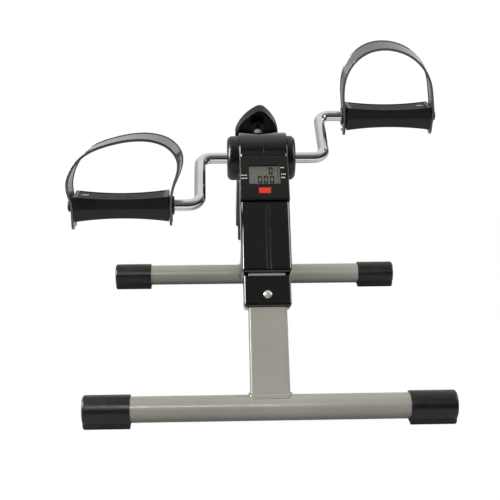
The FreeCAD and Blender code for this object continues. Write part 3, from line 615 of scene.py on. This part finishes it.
class Studio:
    """Wires value nodes of a shader tree."""

    def __init__(self, tree):
        self.tree = tree

    def add(self, kind):
        return self.tree.nodes.new(kind)

    def link(self, output, target):
        self.tree.links.new(output, target)

    def ramp(self, value, low, high, first, last):
        """Value between low and high becomes first to last, held outside."""
        node = self.add("ShaderNodeMapRange")
        node.interpolation_type = "SMOOTHSTEP"
        for name, number in (("From Min", low), ("From Max", high), ("To Min", first), ("To Max", last)):
            node.inputs[name].default_value = number
        self.link(value, node.inputs["Value"])
        return node.outputs["Result"]

    def join(self, operation, first, second):
        node = self.add("ShaderNodeMath")
        node.operation = operation
        self.link(first, node.inputs[0])
        self.link(second, node.inputs[1])
        return node.outputs["Value"]

    def value(self, number):
        node = self.add("ShaderNodeValue")
        node.outputs["Value"].default_value = number
        return node.outputs["Value"]

    def split(self, output_name):
        place = self.add("ShaderNodeTexCoord")
        parts = self.add("ShaderNodeSeparateXYZ")
        self.link(place.outputs[output_name], parts.inputs["Vector"])
        return parts.outputs["X"], parts.outputs["Y"], parts.outputs["Z"]


def build_floor():
    """White paper for reflections and bounced light, dark far in front.

    To the camera it is a nearly clear white sheet, so a folded leg that swings below it still shows.
    """
    mesh = bpy.data.meshes.new("floor")
    half = 9.0
    corners = [(-half, -half, 0), (half, -half, 0), (half, half, 0), (-half, half, 0)]
    mesh.from_pydata(corners, [], [(0, 1, 2, 3)])
    material = bpy.data.materials.new("floor")
    material.use_nodes = True
    material.node_tree.nodes.clear()
    studio = Studio(material.node_tree)
    across, away, _ = studio.split("Object")
    squares = [studio.join("MULTIPLY", side, side) for side in (across, away)]
    distance = studio.join("POWER", studio.join("ADD", *squares), studio.value(0.5))
    seen = studio.add("ShaderNodeLightPath")
    camera_ray = seen.outputs["Is Camera Ray"]
    paper = studio.add("ShaderNodeBsdfDiffuse")
    bounce = studio.ramp(seen.outputs["Is Diffuse Ray"], 0.0, 1.0, 1.0, 0.35)
    tone = studio.ramp(away, -1.25, -0.75, 0.03, 0.66)
    studio.link(studio.join("MULTIPLY", tone, bounce), paper.inputs["Color"])
    clear_share = studio.join("MULTIPLY", camera_ray, studio.ramp(distance, 0.5, 1.0, 0.95, 1.0))
    sheet = studio.add("ShaderNodeMixShader")
    studio.link(studio.join("MAXIMUM", clear_share, seen.outputs["Is Shadow Ray"]), sheet.inputs["Fac"])
    studio.link(paper.outputs["BSDF"], sheet.inputs[1])
    studio.link(studio.add("ShaderNodeBsdfTransparent").outputs["BSDF"], sheet.inputs[2])
    lift = studio.add("ShaderNodeEmission")
    studio.link(studio.join("MULTIPLY", camera_ray, studio.value(0.03)), lift.inputs["Strength"])
    both = studio.add("ShaderNodeAddShader")
    studio.link(sheet.outputs["Shader"], both.inputs[0])
    studio.link(lift.outputs["Emission"], both.inputs[1])
    output = studio.add("ShaderNodeOutputMaterial")
    studio.link(both.outputs["Shader"], output.inputs["Surface"])
    mesh.materials.append(material)
    floor = bpy.data.objects.new("floor", mesh)
    bpy.context.scene.collection.objects.link(floor)


def build_world():
    """The camera sees white.  Reflections see a room that is bright behind, dim in front and at the sides."""
    world = bpy.data.worlds.new("studio")
    bpy.context.scene.world = world
    world.use_nodes = True
    world.node_tree.nodes.clear()
    studio = Studio(world.node_tree)
    across, away, height = studio.split("Generated")
    room = studio.ramp(away, -0.8, 0.5, 0.1, 0.8)
    above = studio.ramp(height, 0.08, 0.4, 0.0, 1.0)
    horizon = studio.join("MAXIMUM", above, studio.ramp(away, 0.1, 0.4, 0.0, 1.0))
    right = studio.ramp(across, 0.55, 0.85, 1.0, 0.12)
    left = studio.ramp(across, -0.7, -0.25, 0.5, 1.0)
    sides = studio.join("MULTIPLY", left, right)
    light = studio.join("MULTIPLY", studio.join("MULTIPLY", room, horizon), sides)
    backdrop = studio.add("ShaderNodeBackground")
    backdrop.inputs["Color"].default_value = (1, 1, 1, 1)
    fill = studio.add("ShaderNodeBackground")
    fill.inputs["Color"].default_value = (1.0, 0.985, 0.95, 1)
    studio.link(light, fill.inputs["Strength"])
    seen = studio.add("ShaderNodeLightPath")
    mix = studio.add("ShaderNodeMixShader")
    studio.link(seen.outputs["Is Camera Ray"], mix.inputs["Fac"])
    studio.link(fill.outputs["Background"], mix.inputs[1])
    studio.link(backdrop.outputs["Background"], mix.inputs[2])
    output = studio.add("ShaderNodeOutputWorld")
    studio.link(mix.outputs["Shader"], output.inputs["Surface"])


def soft_light(name, place, target, width, height, power, glint, receivers=()):
    """A glint light shows only in reflections, any other one only shades; it lights its receivers only."""
    data = bpy.data.lights.new(name, "AREA")
    data.shape = "RECTANGLE"
    data.size = width
    data.size_y = height
    data.energy = power
    light = bpy.data.objects.new(name, data)
    light.location = place
    light.rotation_euler = (Vector(target) - Vector(place)).to_track_quat("-Z", "Y").to_euler()
    light.visible_glossy = glint
    light.visible_diffuse = not glint
    bpy.context.scene.collection.objects.link(light)
    if receivers:
        lit = bpy.data.collections.new(name + "_lit")
        for obj in receivers:
            lit.objects.link(obj)
        light.light_linking.receiver_collection = lit


def build_camera():
    yaw = math.radians(CAMERA_YAW)
    down = math.radians(CAMERA_DOWN)
    roll = math.radians(CAMERA_ROLL)
    right = Vector((math.cos(yaw), math.sin(yaw), 0))
    level = Vector((-math.sin(yaw), math.cos(yaw), 0))
    forward = level * math.cos(down) + Vector((0, 0, -math.sin(down)))
    up = level * math.sin(down) + Vector((0, 0, math.cos(down)))
    tilted_right = right * math.cos(roll) + up * math.sin(roll)
    tilted_up = up * math.cos(roll) - right * math.sin(roll)
    data = bpy.data.cameras.new("camera")
    data.sensor_width = CAMERA_SENSOR
    data.lens = CAMERA_FOCAL
    camera = bpy.data.objects.new("camera", data)
    basis = Matrix((tilted_right, tilted_up, -forward)).transposed().to_4x4()
    camera.matrix_world = Matrix.Translation(CAMERA_PLACE) @ basis
    bpy.context.scene.collection.objects.link(camera)
    bpy.context.scene.camera = camera


def build_lights():
    """Key and top shade the whole object; the cards give glossy black its bright edges.

    The strip draws the thin line along the floor tubes, and the chrome crank mirrors only the room.
    """
    parts = [obj for obj in bpy.context.scene.objects if obj.type == "MESH" and obj.name != "floor"]
    not_chrome = [obj for obj in parts if obj.name != "crank_rod"]
    base = [obj for obj in parts if "floor_tube" in obj.name or "end_cap" in obj.name]
    rear_base = [obj for obj in base if "rear" in obj.name]
    middle = (0, 0, 0.2)
    soft_light("key", (-0.4, -1.3, 1.45), (0, 0, 0.15), 0.9, 0.6, 26, glint=False)
    soft_light("top", (0.0, 0.5, 1.6), (0, 0.1, 0.05), 1.2, 0.8, 6, glint=False)
    soft_light("left_card", (-1.3, -0.1, 0.75), middle, 0.4, 0.9, 38, glint=True, receivers=not_chrome)
    soft_light("right_card", (1.3, 0.05, 0.75), middle, 0.4, 0.9, 8, glint=True, receivers=not_chrome)
    soft_light("rear_fill", (0.4, -1.1, 1.1), (0, 0.2, 0), 0.8, 0.5, 10, glint=False, receivers=rear_base)
    soft_light("strip", (-0.3, -1.35, 1.35), (0, 0, 0), 1.0, 0.07, 9, glint=True, receivers=base)


build_floor()
build_world()
build_lights()
build_camera()
bpy.context.scene.view_settings.view_transform = "Standard"
